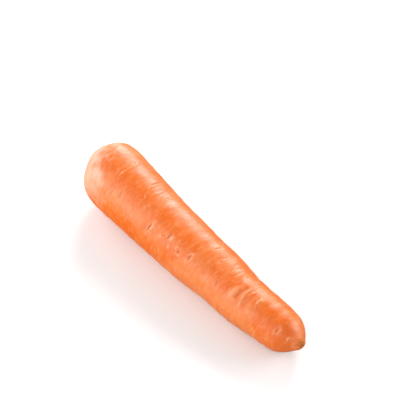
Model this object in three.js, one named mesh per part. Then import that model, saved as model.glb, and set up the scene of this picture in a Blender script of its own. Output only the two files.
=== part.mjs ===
// One carrot root lying on its side. Millimetres, +X from crown to tip, +Z up, resting on z = 0.
import * as THREE from "three";

// ---- Driving dimensions ----

const LENGTH = 175;
const AROUND = 42; // facets round the root
const ALONG = 118; // rings from crown to tip

// The outline, from the middle of the crown to the middle of the tip: distance along, distance out.
const OUTLINE = [
  [2.2, 0], // middle of the scar left by the leaves
  [1.6, 3.1],
  [2.1, 4.5], // groove round that scar
  [0.5, 5.7],
  [0, 6.8], // rim of the crown
  [0.8, 8.6],
  [2.3, 10.8],
  [4.6, 13.5],
  [7.8, 16.6],
  [11.8, 18.9],
  [17, 19.95], // widest
  [24, 19.9],
  [35, 19.4],
  [50, 18.6],
  [67, 17.8],
  [85, 17.2],
  [102, 16.3],
  [118, 15.3],
  [133, 14.4],
  [147, 13.5],
  [157, 12.7],
  [162.4, 11.9],
  [166.3, 10.3],
  [169.6, 7.8],
  [172.2, 5.1],
  [174.1, 3.3],
  [174.9, 1.9], // lip of the scar left by the thin tail root
  [174.5, 0.9],
  [174.3, 0],
];

// The underside runs straight: the middle line drops as the root thins.
const REST_RADIUS = 21.45; // radius that the taper would have at the crown
const REST_SLOPE = 0.05; // radius lost per millimetre along
const FLAT_DEPTH = 0.4; // how far the underside is pressed flat

// Sideways run of the middle line.
const BOW = 1.6; // towards -Y at mid length
const BOW_SKEW = 0.4; // more of it at the shoulder
const HOOK = 3.85; // towards +Y at the tip
const SWAY = 0.74; // a last swing from side to side near the tip
const SWAY_FROM = 80;
const SWAY_FULL = 115;
const SWAY_ZERO = 99;
const SWAY_PITCH = 45;

// The tip leans to one side and lifts a little.
const LEAN_FROM = 150;
const LEAN_SIDE = 1.9;
const LEAN_UP = 0.7;

// Broad swells of the flesh: lobes round the root, millimetres along for one turn, start angle, height.
const SWELLS = [
  { lobes: 2, pitch: 310, lead: 0.4, height: 0.16 },
  { lobes: 3, pitch: -190, lead: 2.1, height: 0.13 },
  { lobes: 1, pitch: 47, lead: 1.2, height: 0.1 },
  { lobes: 5, pitch: 83, lead: 4.0, height: 0.07 },
];

// Growth rings: faint waists across the root.
const RING_PITCH = 9.5;
const RING_DRIFT = 31;
const RING_HEIGHT = 0.07;

// Marks across the skin. Each has its place along, its angle from the top (towards +Y), half its
// length round the root, half its width along the root, and how deep it goes (below 0 it stands up).
const MARKS = [
  { along: 31.5, angle: 15, reach: 3.2, width: 1.5, depth: 0.35 },
  { along: 32, angle: -13, reach: 3.4, width: 1.5, depth: 0.3 },
  { along: 34.2, angle: -44, reach: 4.2, width: 1.5, depth: 0.3 },
  { along: 41, angle: -42, reach: 3, width: 1.5, depth: 0.25 },
  { along: 49.2, angle: 23, reach: 5.6, width: 1.5, depth: 0.4 },
  { along: 68, angle: -50, reach: 5.4, width: 1.8, depth: 0.75 },
  { along: 78.3, angle: -45, reach: 2.8, width: 1.5, depth: 0.35 },
  { along: 83.8, angle: -42, reach: 3.2, width: 1.5, depth: 0.35 },
  { along: 90.8, angle: -45, reach: 2, width: 1.6, depth: 0.5 },
  { along: 99.2, angle: -38, reach: 3, width: 1.9, depth: 0.45 },
  { along: 108, angle: 15, reach: 3.2, width: 1.6, depth: 0.35 },
  { along: 109, angle: -31, reach: 2.4, width: 1.5, depth: 0.25 },
  { along: 119, angle: -45, reach: 2.4, width: 1.5, depth: 0.25 },
  { along: 134.3, angle: -23, reach: 5.6, width: 2.6, depth: 0.85 },
  { along: 138.4, angle: -28, reach: 6, width: 1.6, depth: -0.4 },
  { along: 141.6, angle: -22, reach: 4, width: 1.7, depth: 0.6 },
  { along: 146, angle: -18, reach: 5, width: 1.6, depth: -0.3 },
  { along: 164, angle: -38, reach: 3.2, width: 1.6, depth: 0.4 },
  { along: 170.4, angle: -45, reach: 1.8, width: 1.3, depth: 0.4 },
];

// Rows of side-root marks on the other sides of the root.
const ROW_ANGLES = [68, 112, -112];
const ROW_FROM = 24;
const ROW_TO = 158;
const ROW_STEP = 15;
const ROW_JITTER = 9;
const ROW_SPREAD = 14; // degrees either way
const ROW_REACH = 3.2;
const ROW_WIDTH = 1.6;
const ROW_DEPTH = 0.4;

const LIP = 0.55; // raised edges of a mark, as a share of its depth
const RIM_RADIUS = 6.8;
const SCAR_LOBES = 7; // stumps of leaf stalks round the crown scar
const SCAR_RADIUS = 3.1;
const SCAR_SPREAD = 1.2;
const SCAR_RELIEF = 0.35;

const SKIN_COLOUR = 0xf07a2c;
const SKIN_ROUGHNESS = 0.4;

// ---- Shape ----

const TURN = 2 * Math.PI;
const outline = new THREE.SplineCurve(OUTLINE.map(([along, out]) => new THREE.Vector2(along, out)));

function bell(distance, spread) {
  return Math.exp(-((distance / spread) ** 2));
}

// The same number between 0 and 1 each time for the same two numbers.
function scatter(row, step) {
  const wave = Math.sin(row * 12.9898 + step * 78.233) * 43758.5453;
  return wave - Math.floor(wave);
}

// Marks of one row, spaced unevenly along the root.
function rowOfMarks(angle, row) {
  const marks = [];
  for (let step = 0; ROW_FROM + step * ROW_STEP < ROW_TO; step++) {
    const strength = 0.5 + 0.5 * scatter(row + ROW_ANGLES.length, step);
    marks.push({
      along: ROW_FROM + step * ROW_STEP + ROW_JITTER * scatter(row, step),
      angle: angle + ROW_SPREAD * (2 * scatter(step, row) - 1),
      reach: ROW_REACH * strength,
      width: ROW_WIDTH,
      depth: ROW_DEPTH * strength,
    });
  }
  return marks;
}

const marks = [...MARKS, ...ROW_ANGLES.flatMap(rowOfMarks)];

// 0 along the body, rising to 1 at the tip.
function tipLean(along) {
  return (Math.max(0, along - LEAN_FROM) / (LENGTH - LEAN_FROM)) ** 2;
}

function middleHeight(along) {
  return REST_RADIUS - REST_SLOPE * along - FLAT_DEPTH + LEAN_UP * tipLean(along);
}

function middleSide(along) {
  const share = along / LENGTH;
  const bow = BOW * Math.sin(Math.PI * share) + BOW_SKEW * Math.sin(TURN * share);
  const swing = Math.sin((TURN * (along - SWAY_ZERO)) / SWAY_PITCH);
  const sway = SWAY * swing * THREE.MathUtils.smoothstep(along, SWAY_FROM, SWAY_FULL);
  return HOOK * share ** 3 + LEAN_SIDE * tipLean(along) + sway - bow;
}

// Height of one mark at a place that lies this far along and round from its middle.
function markHeight(mark, alongGap, roundGap) {
  const across = (alongGap / mark.width) ** 2;
  return -mark.depth * (1 - LIP * across) * Math.exp(-across) * bell(roundGap, mark.reach);
}

// How far the skin stands out from the plain outline at a place.
function relief(along, out, angle) {
  let height = 0;
  for (const swell of SWELLS) {
    height += swell.height * Math.sin(swell.lobes * angle + (TURN * along) / swell.pitch + swell.lead);
  }
  height += RING_HEIGHT * Math.sin((TURN * along) / RING_PITCH + Math.sin((TURN * along) / RING_DRIFT));
  for (const mark of marks) {
    const turned = angle - THREE.MathUtils.degToRad(mark.angle);
    const roundGap = out * Math.atan2(Math.sin(turned), Math.cos(turned));
    height += markHeight(mark, along - mark.along, roundGap);
  }
  return height;
}

// A place on the skin: how far through the outline, and the angle from the top towards +Y.
function skinPoint(through, angle) {
  const { x: along, y: out } = outline.getPointAt(through);
  const settle = Math.min(1, out / RIM_RADIUS); // nothing stands out at the two poles
  const radius = out + settle * relief(along, out, angle);
  const onCrown = through < 0.5 ? settle * bell(out - SCAR_RADIUS, SCAR_SPREAD) : 0;
  const stump = SCAR_RELIEF * onCrown * Math.cos(SCAR_LOBES * angle);
  const height = middleHeight(along) + radius * Math.cos(angle);
  return new THREE.Vector3(along - stump, middleSide(along) + radius * Math.sin(angle), Math.max(0, height));
}

// A closed ball whose rings are moved onto the outline, then centred over the origin.
function rootGeometry() {
  const geometry = new THREE.SphereGeometry(1, AROUND, ALONG);
  const { position, uv } = geometry.attributes;
  for (let i = 0; i < position.count; i++) {
    const point = skinPoint(1 - uv.getY(i), TURN * uv.getX(i));
    position.setXYZ(i, point.x, point.y, point.z);
  }
  geometry.computeBoundingBox();
  const centre = geometry.boundingBox.getCenter(new THREE.Vector3());
  geometry.translate(-centre.x, -centre.y, 0);
  geometry.computeVertexNormals();
  return geometry;
}

const skin = new THREE.MeshStandardMaterial({ color: SKIN_COLOUR, roughness: SKIN_ROUGHNESS });
const root = new THREE.Mesh(rootGeometry(), skin);
root.name = "root_flesh";

const carrot = new THREE.Group();
carrot.name = "carrot";
carrot.add(root);

export default carrot;
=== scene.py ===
import collections
import math

import bmesh
import bpy
import numpy as np
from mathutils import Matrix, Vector, noise


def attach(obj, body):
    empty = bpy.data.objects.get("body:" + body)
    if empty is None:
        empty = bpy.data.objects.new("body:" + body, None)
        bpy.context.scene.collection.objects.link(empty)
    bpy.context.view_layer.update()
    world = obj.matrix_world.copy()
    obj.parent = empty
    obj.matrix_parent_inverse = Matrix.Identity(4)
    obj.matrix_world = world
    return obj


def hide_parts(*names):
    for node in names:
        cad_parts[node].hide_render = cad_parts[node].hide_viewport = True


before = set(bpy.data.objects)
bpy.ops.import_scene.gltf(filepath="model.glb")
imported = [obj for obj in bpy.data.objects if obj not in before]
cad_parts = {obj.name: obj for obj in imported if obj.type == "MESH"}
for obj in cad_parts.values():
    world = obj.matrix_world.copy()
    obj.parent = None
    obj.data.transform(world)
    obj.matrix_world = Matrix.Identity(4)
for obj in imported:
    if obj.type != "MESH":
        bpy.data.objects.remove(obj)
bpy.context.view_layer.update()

MM = 0.001
TURN = 2 * math.pi

# ---- Sizes, in millimetres, the same as in the part's own source ----

LENGTH = 175.0

# The outline, from the middle of the crown to the middle of the tip: distance along, distance out.
OUTLINE = [
    (2.2, 0), (1.6, 3.1), (2.1, 4.5), (0.5, 5.7), (0, 6.8), (0.8, 8.6), (2.3, 10.8),
    (4.6, 13.5), (7.8, 16.6), (11.8, 18.9), (17, 19.95), (24, 19.9), (35, 19.4), (50, 18.6),
    (67, 17.8), (85, 17.2), (102, 16.3), (118, 15.3), (133, 14.4), (147, 13.5), (157, 12.7),
    (162.4, 11.9), (166.3, 10.3), (169.6, 7.8), (172.2, 5.1), (174.1, 3.3), (174.9, 1.9),
    (174.5, 0.9), (174.3, 0),
]
REST_RADIUS, REST_SLOPE, FLAT_DEPTH = 21.45, 0.05, 0.4
BOW, BOW_SKEW, HOOK = 1.6, 0.4, 3.85
SWAY, SWAY_FROM, SWAY_FULL, SWAY_ZERO, SWAY_PITCH = 0.74, 80, 115, 99, 45
LEAN_FROM, LEAN_SIDE, LEAN_UP = 150, 1.9, 0.7
RIM_RADIUS = 6.8
SCAR_LOBES, SCAR_RADIUS, SCAR_SPREAD, SCAR_RELIEF = 7, 3.1, 1.2, 0.35

# Broad swells: lobes round the root, millimetres along for one turn, start angle, height.
SWELLS = [(2, 310, 0.4, 0.16), (3, -190, 2.1, 0.13), (1, 47, 1.2, 0.1), (5, 83, 4.0, 0.07)]
RING_PITCH, RING_DRIFT, RING_HEIGHT = 9.5, 31, 0.07

# ---- Mesh ----

# Points of the outline, and columns of faces round the root.
ALONG, AROUND = 560, 175
# Steps in which the outline's length is measured, and how close two points are one.
CURVE_SAMPLES, MERGE_DISTANCE = 6000, 1e-4
# The columns stand closer on the side that shows most: by how much, and the angle where they are widest.
CROWDING, WIDEST = 0.28, math.radians(150)

# ---- Side-root marks, in millimetres and in degrees from the top (towards +Y) ----

MARK_FIELDS = "along angle reach width depth lip slant bend eye"
Mark = collections.namedtuple("Mark", MARK_FIELDS, defaults=(0, 0, 0))

# Each has its place along, its angle, half its length round the root, half its width along it, its depth
# (below 0 it stands up) and how much of the depth its lips stand up. Then how its line runs: slant, and
# bend, in millimetres along for each millimetre (or its square) round. An eye has its lips all round it.
MARKS = [
    # Shoulder
    Mark(28.6, -14, 1.5, 1.0, -0.18, 0.3), Mark(30.5, 16, 1.0, 0.6, 0.3, 0.7, eye=1),
    Mark(31.8, -13, 2.8, 0.6, -0.26, 0.4, 0.05, 0.08), Mark(32.2, 14, 2.4, 0.8, -0.3, 0.4, -0.1),
    Mark(34.6, -49, 2.6, 0.7, 0.2, 0.9, 0.15), Mark(38.8, -44, 2.0, 0.6, -0.12, 0.3, 0.2),
    Mark(40.4, -41, 2.2, 0.8, 0.22, 0.9, -0.2), Mark(44.0, -60, 2.2, 0.7, 0.16, 0.8, 0.4),
    # Upper body
    Mark(48.8, 24, 5.4, 0.7, 0.44, 0.8, -0.05), Mark(50.2, 11, 4.6, 0.6, -0.26, 0.4, -0.1),
    Mark(53.2, -14, 1.3, 0.6, -0.26, 0.3, -0.6), Mark(55.4, 3, 1.6, 0.9, -0.14, 0.3, -0.2),
    Mark(56.8, 14, 3.4, 0.6, 0.2, 0.8, -0.1), Mark(59.5, -27, 1.6, 0.6, 0.14, 0.8, -0.5),
    # The deep scar with its swollen sides, and the pit after it
    Mark(65.6, -50, 1.6, 0.8, 0.22, 0.4, 0.1), Mark(67.5, -49, 2.0, 0.62, 0.66, 1.0, 0.05),
    Mark(68.7, -58, 3.2, 1.0, -0.4, 0.4, 0.25, -0.05), Mark(69.3, -41, 3.6, 1.1, -0.46, 0.4, -0.06, -0.04),
    Mark(71.6, -51, 0.6, 0.45, 0.26, 0.7, eye=1),
    # Slits and eyes along the middle
    Mark(76.9, -46, 1.3, 1.0, -0.46, 0.4, -0.2), Mark(78.6, -39, 1.2, 0.5, 0.16, 0.6, 0.6),
    Mark(78.9, -52, 1.0, 0.5, 0.18, 0.6, 0.4), Mark(81.4, -34, 2.2, 0.8, 0.42, 0.8, 0.15),
    Mark(82.6, -43, 1.0, 0.5, 0.26, 0.8, eye=1), Mark(83.6, -36, 2.8, 1.0, -0.46, 0.4, 0.2),
    Mark(84.2, -50, 1.8, 0.7, -0.24, 0.4), Mark(89.5, -41, 1.4, 1.0, -0.36, 0.4, 0.3),
    Mark(91.4, -44, 0.8, 0.6, 0.3, 0.6), Mark(91.5, -45, 1.3, 0.9, 0.36, 0.8, eye=1),
    Mark(92.3, -50, 1.1, 0.6, -0.22, 0.4, -0.3), Mark(93.6, -45, 1.4, 0.5, -0.12, 0.4, -0.3),
    Mark(96.4, -26, 2.6, 0.8, 0.14, 0.6), Mark(98.0, -50, 1.6, 0.6, -0.12, 0.3, 0.3),
    Mark(98.9, -36, 1.0, 0.4, 0.3, 0.6, 0.3), Mark(99.0, -40, 2.1, 0.9, 0.38, 0.9, eye=1),
    Mark(99.9, -49, 1.3, 0.9, -0.2, 0.3),
    # Faint lines below the middle
    Mark(105.5, 14, 2.6, 0.7, 0.18, 0.8, 0.3), Mark(108.8, 4, 2.0, 0.7, 0.12, 0.8, -0.3),
    Mark(110.2, -10, 1.4, 0.6, 0.13, 0.8, 0.4), Mark(112.6, 9, 2.0, 0.6, 0.12, 0.8, 0.25),
    Mark(112.6, -13, 1.4, 0.6, -0.14, 0.4, -0.3), Mark(113.4, -4, 1.2, 0.6, 0.24, 0.9, eye=1),
    Mark(119.4, 20, 2.0, 0.6, 0.1, 0.8, -0.4), Mark(121.0, -43, 1.6, 0.5, 0.22, 0.8, -0.4),
    Mark(125.0, 4, 3.0, 0.6, 0.14, 0.8, 0.1),
    # Ridges and grooves before the tip
    Mark(131.4, -29, 4.4, 1.6, -0.36, 0.1, 0.05), Mark(134.8, -30, 1.8, 0.7, 0.12, 0.8, -0.1),
    Mark(135.0, -18, 4.0, 1.3, 0.56, 0.4, -0.04), Mark(135.4, -8, 1.6, 0.7, 0.15, 0.8, 0.1),
    Mark(137.6, -25, 6.2, 0.65, -0.36, 0.5, -0.16, 0.02), Mark(139.6, -8, 2.4, 0.8, -0.2, 0.3, 0.1),
    Mark(141.4, -20, 4.0, 1.5, 0.26, 0.2), Mark(145.0, -44, 2.0, 1.6, -0.2, 0.1),
    Mark(145.6, -13, 3.2, 0.7, -0.32, 0.5, -0.1, 0.08), Mark(146.7, -5, 1.8, 0.7, -0.2, 0.4, 0.5),
    # Tip
    Mark(157.4, -22, 2.4, 0.6, 0.14, 0.6, 0.1), Mark(161.4, -38, 2.6, 0.6, 0.14, 0.3),
    Mark(163.5, -35, 0.5, 0.4, 0.26, 0.6), Mark(163.6, -38, 1.8, 0.8, 0.27, 0.9, eye=1),
    Mark(163.6, -50, 1.2, 0.8, -0.2, 0.3, 0.2), Mark(169.8, -38, 1.4, 0.5, -0.3, 0.3),
    Mark(170.4, -44, 0.7, 0.5, 0.24, 0.8, eye=1),
]

# Rows of marks on the other sides: angles of the rows, span and step along, jitter, spread in degrees,
# then half length, half width and depth of the strongest.
ROW_ANGLES = (68, 112, -112)
ROW_FROM, ROW_TO, ROW_STEP, ROW_JITTER, ROW_SPREAD = 24, 158, 15, 9, 14
ROW_REACH, ROW_WIDTH, ROW_DEPTH, ROW_LIP = 3.2, 1.6, 0.4, 0.55

# Fine creases: how many, from where to where, then least and greatest half length, half width and depth.
CREASES, CREASE_SEED = 640, 11
CREASE_FROM, CREASE_TO = 6, 171
CREASE_REACH, CREASE_WIDTH, CREASE_DEPTH = (1.0, 6.0), (0.42, 0.8), (0.01, 0.075)
CREASE_LIP, CREASE_SLANT, CREASE_BEND = 0.9, 0.15, 0.02
# The share of them that is sunk, and the height of the others as a share of that depth.
SUNK_SHARE, RAISED = 0.6, 0.6

# How far a mark is worked out: in half widths along, and in half lengths round.
MARK_ALONG, MARK_ROUND = 4, 2.4
# A mark at least this deep has its full colour, with its painted highlight and shade, and a slit no wider
# # than this has its darkest painted shade. A slit's painted shade fades this much faster than the mark
# itself.
FULL_DEPTH, NARROW_SLIT, SLIT_SHARPNESS = 0.3, 0.65, 1.6
# How strongly the lips of a mark and of an eye show their painted highlight.
LIP_SHOW, EYE_LIP_SHOW = 8, 7
# A ridge whose half width is at least this shows its painted highlight whole, and this strongly.
BROAD_RIDGE, BROAD_RIDGE_SHOW = 1.2, 0.6
# How many times as wide as the mark the pale ground round it is.
GROUND_SPREAD = 2
# The lips' painted highlight is broken up: how much of it is left on average, and how much that varies.
LIP_LEFT, LIP_VARIES = 0.75, 1.9

# ---- Soft patches of colour, many of them painted highlight and painted shade ----

Patch = collections.namedtuple("Patch", "along angle long wide tint")

# Each has its place along, its angle, half its length along, half its width round, and its tint, from -1
# for deep orange to 1 for pale.
PATCHES = [
    # Deep orange, on the crest and the near flank. The narrow ones at 65, 127.6, 134.8 and 141 along are
    # painted
    #     # shade in and beside the hollows of the marks.
    Patch(17, -16, 5, 4, -0.9), Patch(26, -16, 6, 5, -0.8), Patch(36, -20, 5, 5, -0.9),
    Patch(48, -20, 7, 6, -1), Patch(60, -22, 5, 4, -0.7), Patch(65, -52, 1.8, 4, -1),
    Patch(71, -18, 6, 5, -0.8), Patch(72, 3, 6, 3, -1), Patch(78, -22, 4, 4, -0.8),
    Patch(86, -56, 5, 4, -0.5), Patch(90, -18, 5, 4, -0.8), Patch(93, -34, 5, 4, -0.5),
    Patch(93, -54, 3, 2.5, -0.8), Patch(97, -20, 3, 3, -0.8), Patch(115, -26, 5, 4, -0.8),
    Patch(126, -20, 4, 5, -1), Patch(127.6, -18, 1.8, 5, -1), Patch(134.8, -20, 1.5, 4, -1),
    Patch(141, -22, 1.8, 4, -0.9), Patch(154, -42, 4, 5, -1), Patch(156, -22, 5, 6, -1),
    Patch(158, -48, 5, 5, -0.8), Patch(163, -12, 4, 6, -1), Patch(163, -40, 4, 4, -0.8),
    Patch(167, -26, 2, 6, -1), Patch(168, -50, 3, 7, -1),
    # Painted shade: deep orange low on the near side
    Patch(36, -92, 9, 4, -0.6), Patch(48, -80, 12, 4, -0.5), Patch(55, -90, 10, 4, -0.7),
    Patch(72, -88, 8, 4, -0.6), Patch(170, -75, 3, 8, -0.8),
    # Painted shade: deep orange along the far flank
    Patch(50, 54, 14, 5, -1), Patch(78, 54, 14, 5, -1), Patch(105, 54, 14, 5, -1),
    Patch(130, 54, 14, 5, -1), Patch(152, 44, 6, 4, -0.7),
    # Painted highlight: pale patches along the crest, where the key light is reflected
    Patch(10, 10, 5, 5, 1), Patch(56, -1, 4, 3, 0.5), Patch(66, 16, 5, 3, 0.8), Patch(104, 15, 5, 3, 0.9),
    Patch(118, 14, 4, 3, 0.5), Patch(120, 23, 7, 2.5, 0.6), Patch(126, 14, 5, 3, 0.7),
    Patch(131, 13, 2.5, 3, 1), Patch(138, 24, 7, 2.5, 0.9), Patch(138.5, 15, 3, 3, 1),
    Patch(146, -8, 2.5, 4, 0.8), Patch(150, 16, 7, 3, 0.7), Patch(160, 22, 4, 2.5, 0.7),
    Patch(166, 6, 3, 4, 0.7), Patch(169, 30, 4, 6, 1),
    # Painted highlight: pale patches along the near flank, where the near-side light is reflected
    Patch(16, -52, 6, 7, 1), Patch(23, -50, 6, 4, 0.8), Patch(30, -66, 8, 3, 0.5),
    Patch(31, -54, 5, 4, 0.7), Patch(40, -50, 6, 5, 0.9), Patch(45, -59, 9, 5, 0.7),
    Patch(52, -50, 6, 4, 0.7), Patch(61, -46, 4, 3, 0.5), Patch(68, -62, 6, 4, 0.4),
    Patch(94, -64, 6, 4, 0.5), Patch(99, -72, 7, 4, 0.6), Patch(101, -44, 2, 4, 0.5),
    Patch(108, -68, 7, 4, 0.6), Patch(112, -50, 6, 4, 0.4), Patch(116, -60, 8, 5, 0.3),
    Patch(120, -68, 7, 4, 0.7), Patch(128, -58, 6, 3, 0.5), Patch(131.3, -34, 1.8, 5, 1),
    Patch(136, -64, 6, 4, 0.6), Patch(138, -64, 8, 5, 0.3), Patch(145, -46, 4, 4, 0.7),
]
# More of them on the sides that lie away: how many, between which angles, least and greatest half size,
# and from where to where along.
FAR_PATCHES, FAR_ANGLES, FAR_SIZE, FAR_SEED = 70, (45, 262), (2.5, 6.5), 5
FAR_FROM, FAR_TO = 8, 172
# How ragged the edges of all the patches are.
PATCH_RAGGED = 2.2

# ---- Wrinkles and the two ends ----

Grain = collections.namedtuple("Grain", "pitch_along pitch_round offset")

# Soft noises: millimetres for one change along the root and for one round it, and where the noise starts.
GRAINS = {
    "low_patches": Grain(7, 7, 3.1),
    "wrinkles": Grain(2.3, 7, 11.7),
    "narrow_wrinkles": Grain(1.3, 4, 27.3),
    "crumple": Grain(1.6, 1.7, 53.3),
    "wrinkled_places": Grain(14, 9, 41.9),
    "lip_breaks": Grain(1.3, 1.5, 71.7),
    "patch_edges": Grain(3, 3, 95.1),
    "cork": Grain(0.9, 0.9, 63.1),
    "stub_swerve": Grain(2.2, 2.2, 51.9),
    "collar_edge": Grain(3, 3, 33.7),
    "shoulder_edge": Grain(8, 8, 87.7),
    "shoulder_fringe": Grain(2.5, 4, 19.3),
}

# Heights of the low patches, of the two kinds of wrinkle, and of the crumple between them.
LOW_PATCHES, WRINKLES, NARROW_WRINKLES, CRUMPLE = 0.10, 0.055, 0.012, 0.02
# The share of the skin that is wrinkled, and how much that varies from place to place.
WRINKLED, WRINKLED_VARIES = 0.4, 1.4
# Both are thickest on one flank: its middle and reach, along and in degrees, and what it adds to them.
FLANK_ALONG, FLANK_LONG, FLANK_ANGLE, FLANK_WIDE = 34, 26, -52, 26
FLANK_WRINKLES, FLANK_CRUMPLE = 0.7, 0.10

# The stubs of the leaf stalks in the crown scar: how full, how far out of line, and the one in the middle.
STUB_FILL, STUB_SWERVE, MIDDLE_STUB_RADIUS, MIDDLE_STUB_FILL = 0.2, 0.5, 1.1, 0.7
# The leaf scar, the collar and the corky tip fade between two distances out, with a ragged edge.
CROWN_EDGE, CROWN_RAGGED = (5.2, 7.4), 1.2
COLLAR_EDGE, COLLAR_RAGGED, COLLAR_TO = (6.5, 16), 5, 7
TAIL_EDGE, TAIL_RAGGED = (2.4, 4.4), 1.5
# The corky tip lies a little off the middle: how far, and at which angle.
TAIL_OFF, TAIL_ANGLE = 1.0, 48
# How rough the leaf scar and the corky tip are.
CROWN_ROUGH, TAIL_ROUGH = 0.4, 0.25

# The pale shoulder, partly a paler skin and partly painted highlight from the light behind the crown: where
# it starts to fade and where it has gone, then what the near flank adds to both, then what the crest adds.
# Both have an angle and a reach in degrees.
SHOULDER_FADE, NEAR_FLANK_FADE, CREST_FADE = (3, 13), (9, 27), (4, 8)
NEAR_FLANK, CREST = (-72, 44), (15, 15)
# How ragged its edge is, broadly and finely.
SHOULDER_RAGGED, SHOULDER_FRINGE = 9, 6
# It is fainter away from one side, the near side where its painted highlight is strongest: the share that
# is left there, and that side's angle and reach.
FAR_SHOULDER, SHOULDER_SIDE = 0.6, (-30, 75)

# ---- Camera ----

AZIMUTH, ELEVATION, DISTANCE = 50.7, 48.0, 900.0
LOOK_AT = (-17.7, 28.3, 16.0)
PIXELS_PER_MM = 1.736
FRAME_PIXELS = 420
SENSOR_WIDTH = 36
CLIP_START, CLIP_END = 0.05, 20

# ---- Light ----

# The room's own light: an even part, then walls that glow from these sides.
EVEN_LIGHT = 0.2
WALLS = (((0, -1, 0), 2.1), ((0, 1, 0), 0.35), ((1, 0, 0), 0.55))
# A glow starts at right angles to its side, and would be full this far towards it, past the middle at 1.
WALL_FULL = 1.2
# Soft boxes: direction from the root, width and height in metres, brightness beside a white floor.
BOX_DISTANCE = 1.5
BOXES = {
    "key": ((-0.52, 0.70, 0.49), 0.7, 0.8, 10.4),
    "left_box": ((-0.52, -0.74, 0.42), 1.1, 1.2, 1.2),
    "end_box": ((-0.90, -0.10, 0.42), 1.2, 0.8, 3.6),
    "tip_box": ((0.44, 0.80, 0.38), 1.1, 0.6, 6),
}

# ---- Floor ----

FLOOR_HALF_SIZE = 6
FLOOR_ROUGHNESS = 0.7
FLOOR_COLOUR = (0.92, 0.92, 0.92)
# The colour of the light that it sends back to the root: warm on the near side by the crown half, pale on
# the near side by the tip half, dark on the far side. It changes between these places, in metres.
WARM_BOUNCE, PALE_BOUNCE, DARK_BOUNCE = (0.62, 0.28, 0.10), (0.6, 0.58, 0.56), (0.09, 0.06, 0.04)
WARM_TO_PALE, NEAR_TO_FAR = (-0.06, 0.01), (-0.02, 0.02)

# ---- Colours of the skin ----

DEEP_FLESH, PALE_FLESH = (0.71, 0.127, 0.0), (0.75, 0.208, 0.042)
# The pale shoulder: partly a paler skin, partly painted highlight from the light behind the crown.
SHOULDER_PALE_AND_HIGHLIGHT = (0.86, 0.495, 0.362)
COLLAR_COLOUR = (0.50, 0.24, 0.055)
CROWN_DARK, CROWN_STUB = (0.16, 0.075, 0.02), (0.46, 0.31, 0.10)
TAIL_DARK, TAIL_PALE = (0.50, 0.13, 0.015), (0.68, 0.25, 0.05)

# Noises in the skin: changes for each metre along, sideways and up, detail and roughness.
TEXTURES = {
    "clouds": ((170, 120, 120), 2, 0.6),
    "mottle": ((460, 320, 320), 2, 0.6),
    "fine": ((620, 210, 210), 2, 0.5),
    "broad": ((32, 55, 55), 1, 0.5),
    "flecks": ((620, 420, 420), 1, 0.5),
    "wrinkles": ((660, 270, 270), 2, 0.5),
    "pores": ((1500, 1300, 1300), 2, 0.5),
}
# Sums of those noises and of the tint of the patches.
TONE = {"clouds": 0.26, "mottle": 0.23, "broad": 0.15, "tint": 0.12}
STREAKS = {"fine": 1, "tint": 0.08}
GLOSS = {"clouds": 0.33, "fine": 0.17, "tint": -0.04, "tail": 0.4, "crown": 0.4}
RELIEF = {"wrinkles": 0.8, "pores": 0.12, "fine": 0.5}
STUB_TONE = {"stubs": 0.45, "flecks": 0.8}
# How deep the finest relief is, in metres.
RELIEF_HEIGHT = 0.00012

# From where to where a value counts, then what it becomes there, where that isn't 0 to 1.
TONE_RANGE = (0.18, 0.46)
SHOULDER_VARIES = (0.35, 0.65, 0.8, 1)
COLLAR_VARIES = (0.3, 0.6, 0.6, 0.95)
STUB_RANGE = (0.3, 0.85)
CORK_RANGE = (0.4, 0.65)
ROUGHNESS_RANGE = (0.1, 0.65, 0.32, 0.85)

# Layers over the flesh, under the pale shoulder: value, where it starts and is full, strength, colour.
FLESH_LAYERS = (
    ("streaks", 0.50, 0.76, 0.42, (0.78, 0.255, 0.108)),
    ("flecks", 0.58, 0.80, 0.22, (0.80, 0.31, 0.15)),
    # Painted highlight on the crests of the wrinkles, then painted shade in their hollows.
    ("wrinkles", 0.53, 0.72, 0.30, (0.83, 0.34, 0.15)),
    ("wrinkles", 0.47, 0.28, 0.34, (0.58, 0.105, 0.003)),
)
# Layers over it: the ground round the marks, painted highlight on their lips, painted shade in their slits
# in two depths.
MARK_LAYERS = (
    ("pale", 0.10, 1.00, 0.40, (0.78, 0.25, 0.10)),
    ("lip", 0.10, 0.90, 0.68, (0.87, 0.41, 0.19)),
    ("slit", 0.05, 0.50, 0.45, (0.52, 0.11, 0.012)),
    ("slit", 0.40, 0.95, 0.50, (0.36, 0.09, 0.008)),
)


def make_camera():
    a, e = math.radians(AZIMUTH), math.radians(ELEVATION)
    back = Vector((math.sin(a) * math.cos(e), -math.cos(a) * math.cos(e), math.sin(e)))
    camera = bpy.data.objects.new("camera", bpy.data.cameras.new("camera"))
    camera.data.sensor_width = SENSOR_WIDTH
    camera.data.lens = PIXELS_PER_MM * DISTANCE * SENSOR_WIDTH / FRAME_PIXELS
    camera.data.clip_start = CLIP_START
    camera.data.clip_end = CLIP_END
    camera.location = (Vector(LOOK_AT) + back * DISTANCE) * MM
    camera.rotation_mode = "QUATERNION"
    camera.rotation_quaternion = (-back).to_track_quat("-Z", "Y")
    bpy.context.collection.objects.link(camera)
    bpy.context.scene.camera = camera


# ---- Shape ----


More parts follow.
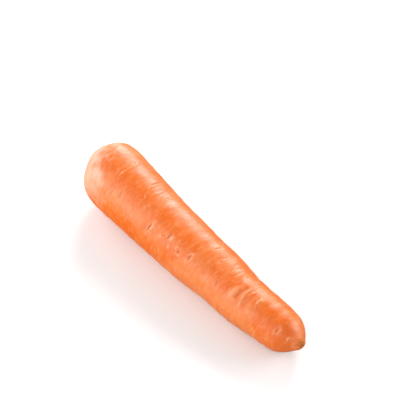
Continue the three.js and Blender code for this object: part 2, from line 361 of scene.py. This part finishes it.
def outline_points(count):
    """Points spaced evenly along the smooth curve through OUTLINE."""
    knots = np.array(OUTLINE, float)
    last = len(knots) - 1
    t = np.linspace(0, last, CURVE_SAMPLES)
    i = np.minimum(t.astype(int), last - 1)
    w = (t - i)[:, None]
    p1, p2 = knots[i], knots[i + 1]
    v1 = (p2 - knots[np.maximum(i - 1, 0)]) / 2
    v2 = (knots[np.minimum(i + 2, last)] - p1) / 2
    curve = (2 * p1 - 2 * p2 + v1 + v2) * w**3 + (3 * p2 - 3 * p1 - 2 * v1 - v2) * w**2 + v1 * w + p1
    run = np.concatenate([[0], np.cumsum(np.hypot(*np.diff(curve, axis=0).T))])
    even = np.linspace(0, run[-1], count)
    return np.stack([np.interp(even, run, curve[:, k]) for k in (0, 1)], axis=1)


def smoothstep(x, low, high):
    t = np.clip((x - low) / (high - low), 0, 1)
    return t * t * (3 - 2 * t)


def bell(distance, spread):
    return np.exp(-((distance / spread) ** 2))


def angle_bell(angle, middle, reach):
    """1 at the middle angle, fading either way. Middle and reach are in degrees."""
    return bell(angle - math.radians(middle), math.radians(reach))


def tip_lean(along):
    return (np.maximum(0, along - LEAN_FROM) / (LENGTH - LEAN_FROM)) ** 2


def middle_height(along):
    return REST_RADIUS - REST_SLOPE * along - FLAT_DEPTH + LEAN_UP * tip_lean(along)


def middle_side(along):
    share = along / LENGTH
    bow = BOW * np.sin(math.pi * share) + BOW_SKEW * np.sin(TURN * share)
    sway = SWAY * np.sin(TURN * (along - SWAY_ZERO) / SWAY_PITCH) * smoothstep(along, SWAY_FROM, SWAY_FULL)
    return HOOK * share**3 + LEAN_SIDE * tip_lean(along) + sway - bow


def swell_height(skin):
    height = RING_HEIGHT * np.sin(TURN * skin.along / RING_PITCH + np.sin(TURN * skin.along / RING_DRIFT))
    for lobes, pitch, lead, tall in SWELLS:
        height = height + tall * np.sin(lobes * skin.angle + TURN * skin.along / pitch + lead)
    return height


# The points of the straight root: place along, distance out, angle from the top (in radians), sideways, up.
Skin = collections.namedtuple("Skin", "along out angle side up")


def round_gap(out, angle, degrees):
    """Millimetres round the root from the line that runs at this angle."""
    turned = angle - math.radians(degrees)
    return out * np.arctan2(np.sin(turned), np.cos(turned))


def grain(skin, name):
    """Soft noise of one of the GRAINS at every point."""
    pitch_along, pitch_round, offset = GRAINS[name]
    points = zip(skin.along / pitch_along + offset, skin.side / pitch_round, skin.up / pitch_round)
    return np.array([noise.noise(Vector(p)) for p in points])


def scatter(row, step):
    """A share from 0 to 1 that looks random and is always the same for the same row and step."""
    value = math.sin(row * 12.9898 + step * 78.233) * 43758.5453
    return value - math.floor(value)


def row_marks():
    """Marks in rows on the other sides, spaced unevenly along the root."""
    steps = math.ceil((ROW_TO - ROW_FROM) / ROW_STEP)
    for row, angle in enumerate(ROW_ANGLES):
        for step in range(steps):
            strength = 0.5 + 0.5 * scatter(row + len(ROW_ANGLES), step)
            along = ROW_FROM + step * ROW_STEP + ROW_JITTER * scatter(row, step)
            turn = angle + ROW_SPREAD * (2 * scatter(step, row) - 1)
            yield Mark(along, turn, ROW_REACH * strength, ROW_WIDTH, ROW_DEPTH * strength, ROW_LIP)


def crease_marks():
    """Creases strewn over the root, most of them short and shallow."""
    draw = np.random.default_rng(CREASE_SEED)
    places = draw.uniform(CREASE_FROM, CREASE_TO, CREASES)
    for along, turn in zip(places, draw.uniform(-180, 180, CREASES)):
        share = draw.random() ** 2
        reach = np.interp(draw.random() ** 1.5, (0, 1), CREASE_REACH)
        width = np.interp(draw.random(), (0, 1), CREASE_WIDTH)
        depth = np.interp(share, (0, 1), CREASE_DEPTH) * (1 if draw.random() < SUNK_SHARE else -RAISED)
        slant, bend = draw.normal(0, CREASE_SLANT), draw.normal(0, CREASE_BEND)
        yield Mark(along, turn, reach, width, depth, CREASE_LIP, slant, bend)


def mark_fields(skin, marks):
    """Height of all the marks, how much of each place takes the painted shade of a slit or the painted
    highlight of a lip, and the pale ground round it.
    """
    height, slit, lip, pale = (np.zeros_like(skin.along) for _ in range(4))
    broken = np.clip(LIP_LEFT + LIP_VARIES * grain(skin, "lip_breaks"), 0, 1)
    for m in marks:
        stray = abs(m.slant) * 2 * m.reach + abs(m.bend) * 4 * m.reach**2
        near = np.flatnonzero(np.abs(skin.along - m.along) < MARK_ALONG * m.width + stray)
        gap = round_gap(skin.out[near], skin.angle[near], m.angle)
        close = np.abs(gap) < MARK_ROUND * m.reach
        near, gap = near[close], gap[close]
        across = ((skin.along[near] - m.along - m.slant * gap - m.bend * gap**2) / m.width) ** 2
        ends = np.exp(-((gap / m.reach) ** 4))
        dark = ends
        if m.eye:
            across = across + (gap / m.reach) ** 2
            ends = 1
        shape = (1 - m.lip * across) * np.exp(-across) * ends
        strength = min(1.0, abs(m.depth) / FULL_DEPTH)
        height[near] -= m.depth * shape
        if m.depth > 0:
            narrow = min(1.0, NARROW_SLIT / m.width) ** 2
            slit[near] = np.maximum(slit[near], strength * narrow * np.exp(-SLIT_SHARPNESS * across) * dark)
            show = -shape * (EYE_LIP_SHOW if m.eye else LIP_SHOW) * broken[near]
        else:
            show = shape * (broken[near] if m.width < BROAD_RIDGE else BROAD_RIDGE_SHOW)
        lip[near] = np.maximum(lip[near], strength * np.clip(show, 0, 1))
        pale[near] = np.maximum(pale[near], strength * ends * np.exp(-across / GROUND_SPREAD**2))
    return height, {"slit": slit, "lip": lip, "pale": pale}


def far_patches():
    draw = np.random.default_rng(FAR_SEED)
    for _ in range(FAR_PATCHES):
        along, turn = draw.uniform(FAR_FROM, FAR_TO), draw.uniform(*FAR_ANGLES)
        yield Patch(along, turn, draw.uniform(*FAR_SIZE), draw.uniform(*FAR_SIZE), draw.uniform(-1, 1))


def patch_field(skin):
    """How pale or deep the colour is at each place, with ragged edges to the patches."""
    ragged = PATCH_RAGGED * grain(skin, "patch_edges")
    tint = np.zeros_like(skin.along)
    for p in [*PATCHES, *far_patches()]:
        gap = round_gap(skin.out, skin.angle, p.angle) + ragged
        tint += p.tint * bell(skin.along + ragged - p.along, p.long) * bell(gap, p.wide)
    return np.clip(tint, -1, 1)


def wrinkle_height(skin):
    """Low patches, and fine wrinkles that come and go, thickest on one flank below the shoulder."""
    flank = bell(skin.along - FLANK_ALONG, FLANK_LONG) * angle_bell(skin.angle, FLANK_ANGLE, FLANK_WIDE)
    places = WRINKLED + WRINKLED_VARIES * grain(skin, "wrinkled_places") + FLANK_WRINKLES * flank
    wrinkles = WRINKLES * grain(skin, "wrinkles") + NARROW_WRINKLES * grain(skin, "narrow_wrinkles")
    crumple = (CRUMPLE + FLANK_CRUMPLE * flank) * grain(skin, "crumple")
    return LOW_PATCHES * grain(skin, "low_patches") + np.clip(places, 0, 1) * wrinkles + crumple


def within(distance, edge):
    """1 inside the edge, fading to 0 outside it."""
    return 1 - smoothstep(distance, *edge)


def shoulder_field(skin):
    """The pale shoulder, partly paler skin and partly painted highlight, which reaches furthest down the
    near flank.
    """
    flank, crest = angle_bell(skin.angle, *NEAR_FLANK), angle_bell(skin.angle, *CREST)
    fades = zip(SHOULDER_FADE, NEAR_FLANK_FADE, CREST_FADE)
    edge = [plain + near * flank + top * crest for plain, near, top in fades]
    ragged = SHOULDER_RAGGED * grain(skin, "shoulder_edge")
    fringe = SHOULDER_FRINGE * grain(skin, "shoulder_fringe")
    side = FAR_SHOULDER + (1 - FAR_SHOULDER) * angle_bell(skin.angle, *SHOULDER_SIDE)
    return within(skin.along + ragged + fringe, edge) * side


def end_fields(skin, settle):
    """The two ends: how far the skin shifts along, and where the leaf scar, its stubs, the collar round
    it, the corky stub on the tip and the pale shoulder with its painted highlight are."""
    rough = grain(skin, "cork")
    crown_half = skin.along < LENGTH / 2
    ring = bell(skin.out - SCAR_RADIUS, SCAR_SPREAD)
    stalks = settle * ring * np.cos(SCAR_LOBES * skin.angle)
    swerve = STUB_SWERVE * grain(skin, "stub_swerve")
    stubs = ring * np.clip(STUB_FILL + np.cos(SCAR_LOBES * (skin.angle + swerve)) + rough, 0, 1)
    middle_stub = bell(skin.out, MIDDLE_STUB_RADIUS) * np.clip(MIDDLE_STUB_FILL + rough, 0, 1)
    stubs = np.maximum(stubs, middle_stub)
    crown = crown_half * within(skin.out + CROWN_RAGGED * rough, CROWN_EDGE)
    collar_out = skin.out + COLLAR_RAGGED * grain(skin, "collar_edge")
    collar = (skin.along < COLLAR_TO) * within(collar_out, COLLAR_EDGE)
    lean = math.radians(TAIL_ANGLE)
    off = np.hypot(skin.side - TAIL_OFF * math.sin(lean), skin.up - TAIL_OFF * math.cos(lean))
    tail = ~crown_half * within(off + TAIL_RAGGED * rough, TAIL_EDGE)
    shift = rough * settle * (TAIL_ROUGH * tail + CROWN_ROUGH * crown) - SCAR_RELIEF * stalks * crown_half
    shoulder = crown_half * shoulder_field(skin)
    return shift, {"crown": crown, "stubs": stubs, "collar": collar, "tail": tail, "shoulder": shoulder}


def spun_shell():
    """The outline turned once round +X: a straight closed shell with its faces outwards."""
    mesh = bmesh.new()
    verts = [mesh.verts.new((x, 0, max(r, 0))) for x, r in outline_points(ALONG)]
    edges = [mesh.edges.new(pair) for pair in zip(verts, verts[1:])]
    bmesh.ops.spin(mesh, geom=verts + edges, cent=(0, 0, 0), axis=(1, 0, 0), dvec=(0, 0, 0),
                   angle=TURN, steps=AROUND, use_merge=True, use_normal_flip=False, use_duplicate=False)
    bmesh.ops.remove_doubles(mesh, verts=mesh.verts, dist=MERGE_DISTANCE)
    bmesh.ops.recalc_face_normals(mesh, faces=mesh.faces)
    data = bpy.data.meshes.new("root_skin")
    mesh.to_mesh(data)
    mesh.free()
    return data


def straight_skin(data):
    """The points of the shell, with its columns drawn together where they show most."""
    place = np.empty(len(data.vertices) * 3)
    data.vertices.foreach_get("co", place)
    along, side, up = place.reshape(-1, 3).T
    out, angle = np.hypot(side, up), np.arctan2(side, up)
    angle = angle + CROWDING * np.sin(angle - WIDEST)
    return Skin(along, out, angle, out * np.sin(angle), out * np.cos(angle))


def make_root():
    data = spun_shell()
    skin = straight_skin(data)
    settle = np.minimum(1, skin.out / RIM_RADIUS)
    height, mark_light_and_colour = mark_fields(skin, [*MARKS, *row_marks(), *crease_marks()])
    radius = skin.out + settle * (swell_height(skin) + height + wrinkle_height(skin))
    shift, end_colours_and_highlight = end_fields(skin, settle)
    side = middle_side(skin.along) + radius * np.sin(skin.angle)
    up = np.maximum(0, middle_height(skin.along) + radius * np.cos(skin.angle))
    moved = np.stack([skin.along + shift, side, up], axis=1)
    middle = (moved.min(axis=0) + moved.max(axis=0)) / 2
    moved[:, :2] -= middle[:2]
    data.vertices.foreach_set("co", (moved * MM).ravel())
    for name, values in {**mark_light_and_colour, "tint": patch_field(skin), **end_colours_and_highlight}.items():
        data.attributes.new(name, "FLOAT", "POINT").data.foreach_set("value", values.astype(np.float32))
    data.polygons.foreach_set("use_smooth", np.ones(len(data.polygons), bool))
    data.update()
    root = bpy.data.objects.new("root_skin", data)
    bpy.context.collection.objects.link(root)
    return root


# ---- Materials ----


def new_material(name):
    material = bpy.data.materials.new(name)
    material.use_nodes = True
    return material, material.node_tree.nodes, material.node_tree.links


def add_noise(nodes, links, where, scale, detail, roughness):
    """Noise on coordinates squeezed by scale, so that it can run across the root."""
    mapping = nodes.new("ShaderNodeMapping")
    mapping.inputs["Scale"].default_value = scale
    texture = nodes.new("ShaderNodeTexNoise")
    texture.inputs["Scale"].default_value = 1
    texture.inputs["Detail"].default_value = detail
    texture.inputs["Roughness"].default_value = roughness
    links.new(where, mapping.inputs["Vector"])
    links.new(mapping.outputs["Vector"], texture.inputs["Vector"])
    return texture.outputs["Fac"]


def ramp(nodes, links, value, low, high, out_low=0.0, out_high=1.0):
    node = nodes.new("ShaderNodeMapRange")
    node.interpolation_type = "SMOOTHSTEP"
    for name, number in (("From Min", low), ("From Max", high), ("To Min", out_low), ("To Max", out_high)):
        node.inputs[name].default_value = number
    links.new(value, node.inputs["Value"])
    return node.outputs["Result"]


def mix(nodes, links, factor, first, second):
    node = nodes.new("ShaderNodeMix")
    node.data_type = "RGBA"
    links.new(factor, node.inputs["Factor"])
    for socket, value in ((node.inputs[6], first), (node.inputs[7], second)):
        if isinstance(value, tuple):
            socket.default_value = (*value, 1)
        else:
            links.new(value, socket)
    return node.outputs[2]


def sum_of(nodes, links, terms):
    """Sum of each value times its weight."""
    total = None
    for value, weight in terms:
        node = nodes.new("ShaderNodeMath")
        node.operation = "MULTIPLY_ADD" if total else "MULTIPLY"
        links.new(value, node.inputs[0])
        node.inputs[1].default_value = weight
        if total:
            links.new(total, node.inputs[2])
        total = node.outputs[0]
    return total


def product_of(nodes, links, first, second):
    node = nodes.new("ShaderNodeMath")
    node.operation = "MULTIPLY"
    links.new(first, node.inputs[0])
    links.new(second, node.inputs[1])
    return node.outputs[0]


def attribute(nodes, name):
    node = nodes.new("ShaderNodeAttribute")
    node.attribute_name = name
    return node.outputs["Fac"]


def skin_values(nodes, links):
    """Every noise of the skin, and every value that the mesh carries, by name."""
    where = nodes.new("ShaderNodeTexCoord").outputs["Object"]
    values = {name: add_noise(nodes, links, where, *texture) for name, texture in TEXTURES.items()}
    for name in ("tint", "pale", "lip", "slit", "shoulder", "collar", "crown", "stubs", "tail"):
        values[name] = attribute(nodes, name)
    return values


def make_skin():
    material, nodes, links = new_material("carrot_skin")
    shader = nodes["Principled BSDF"]
    values = skin_values(nodes, links)

    def blend(weights):
        return sum_of(nodes, links, [(values[name], weight) for name, weight in weights.items()])

    def layered(colour, layers):
        for name, low, high, strength, over in layers:
            share = ramp(nodes, links, values[name], low, high, 0, strength)
            colour = mix(nodes, links, share, colour, over)
        return colour

    # Colour: deep orange flesh with paler clouds and with pale streaks across the root, then painted
    # highlight on
    #     # the crests of the wrinkles and painted shade in their hollows.
    values["streaks"] = blend(STREAKS)
    colour = mix(nodes, links, ramp(nodes, links, blend(TONE), *TONE_RANGE), DEEP_FLESH, PALE_FLESH)
    colour = layered(colour, FLESH_LAYERS)
    # The pale shoulder: paler skin with painted highlight from the light behind the crown.
    shoulder_varies = ramp(nodes, links, values["fine"], *SHOULDER_VARIES)
    shoulder = product_of(nodes, links, values["shoulder"], shoulder_varies)
    colour = mix(nodes, links, shoulder, colour, SHOULDER_PALE_AND_HIGHLIGHT)
    # The marks: pale ground round them, painted highlight on their lips and painted shade in their slits.
    colour = layered(colour, MARK_LAYERS)

    # The two ends: brownish collar round the leaf scar, the scar with its stubs, and the corky tip.
    collar_varies = ramp(nodes, links, values["clouds"], *COLLAR_VARIES)
    collar = product_of(nodes, links, values["collar"], collar_varies)
    colour = mix(nodes, links, collar, colour, COLLAR_COLOUR)
    crown = mix(nodes, links, ramp(nodes, links, blend(STUB_TONE), *STUB_RANGE), CROWN_DARK, CROWN_STUB)
    colour = mix(nodes, links, values["crown"], colour, crown)
    tail = mix(nodes, links, ramp(nodes, links, values["flecks"], *CORK_RANGE), TAIL_DARK, TAIL_PALE)
    colour = mix(nodes, links, values["tail"], colour, tail)
    links.new(colour, shader.inputs["Base Color"])

    # Gloss: damp and smooth, duller in the streaks and on the cork, and very slightly warm.
    links.new(ramp(nodes, links, blend(GLOSS), *ROUGHNESS_RANGE), shader.inputs["Roughness"])
    shader.inputs["IOR"].default_value = 1.5
    shader.inputs["Specular IOR Level"].default_value = 0.52
    shader.inputs["Specular Tint"].default_value = (1, 0.85, 0.92, 1)

    bump = nodes.new("ShaderNodeBump")
    bump.inputs["Strength"].default_value = 1
    bump.inputs["Distance"].default_value = RELIEF_HEIGHT
    links.new(blend(RELIEF), bump.inputs["Height"])
    links.new(bump.outputs["Normal"], shader.inputs["Normal"])

    # Light goes a few millimetres into the flesh, the red furthest.
    shader.inputs["Subsurface Weight"].default_value = 0.2
    shader.inputs["Subsurface Radius"].default_value = (1.0, 0.35, 0.12)
    shader.inputs["Subsurface Scale"].default_value = 0.003
    return material


def make_floor_material():
    """Plain and pale to the camera, warmer and darker in the light that it sends back to the root."""
    material, nodes, links = new_material("pale_floor")
    shader = nodes["Principled BSDF"]
    seen = nodes.new("ShaderNodeLightPath").outputs["Is Camera Ray"]
    place = nodes.new("ShaderNodeSeparateXYZ")
    links.new(nodes.new("ShaderNodeTexCoord").outputs["Object"], place.inputs["Vector"])
    towards_tip = ramp(nodes, links, place.outputs["X"], *WARM_TO_PALE)
    towards_far = ramp(nodes, links, place.outputs["Y"], *NEAR_TO_FAR)
    near = mix(nodes, links, towards_tip, WARM_BOUNCE, PALE_BOUNCE)
    bounce = mix(nodes, links, towards_far, near, DARK_BOUNCE)
    links.new(mix(nodes, links, seen, bounce, FLOOR_COLOUR), shader.inputs["Base Color"])
    shader.inputs["Roughness"].default_value = FLOOR_ROUGHNESS
    return material


# ---- Stage ----


def make_floor():
    mesh = bmesh.new()
    bmesh.ops.create_grid(mesh, x_segments=1, y_segments=1, size=FLOOR_HALF_SIZE)
    data = bpy.data.meshes.new("floor")
    mesh.to_mesh(data)
    mesh.free()
    floor = bpy.data.objects.new("floor", data)
    data.materials.append(make_floor_material())
    bpy.context.collection.objects.link(floor)


def make_box(name, direction, width, height, radiance):
    """A soft box that faces the root from this direction, as bright as radiance times a white floor."""
    light = bpy.data.objects.new(name, bpy.data.lights.new(name, "AREA"))
    light.data.shape = "RECTANGLE"
    light.data.size = width
    light.data.size_y = height
    light.data.energy = radiance * math.pi * width * height
    towards = Vector(direction).normalized()
    light.location = towards * BOX_DISTANCE
    light.rotation_mode = "QUATERNION"
    light.rotation_quaternion = (-towards).to_track_quat("-Z", "Y")
    bpy.context.collection.objects.link(light)


def make_world():
    """Even white light from all round, with the walls' glow added: brightest from the near side."""
    world = bpy.data.worlds.new("studio")
    world.use_nodes = True
    nodes, links = world.node_tree.nodes, world.node_tree.links
    background = nodes["Background"]
    background.inputs["Color"].default_value = (1, 1, 1, 1)
    where = nodes.new("ShaderNodeTexCoord").outputs["Generated"]
    glows = []
    for side, strength in WALLS:
        towards = nodes.new("ShaderNodeVectorMath")
        towards.operation = "DOT_PRODUCT"
        towards.inputs[1].default_value = side
        links.new(where, towards.inputs[0])
        glows.append((ramp(nodes, links, towards.outputs["Value"], 0.0, WALL_FULL), strength))
    total = nodes.new("ShaderNodeMath")
    total.inputs[1].default_value = EVEN_LIGHT
    links.new(sum_of(nodes, links, glows), total.inputs[0])
    links.new(total.outputs[0], background.inputs["Strength"])
    bpy.context.scene.world = world


make_camera()
make_world()
make_floor()
for name, box in BOXES.items():
    make_box(name, *box)
bpy.context.scene.view_settings.view_transform = "Standard"

root = make_root()
root.data.materials.append(make_skin())
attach(root, "root")
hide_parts("root_flesh")
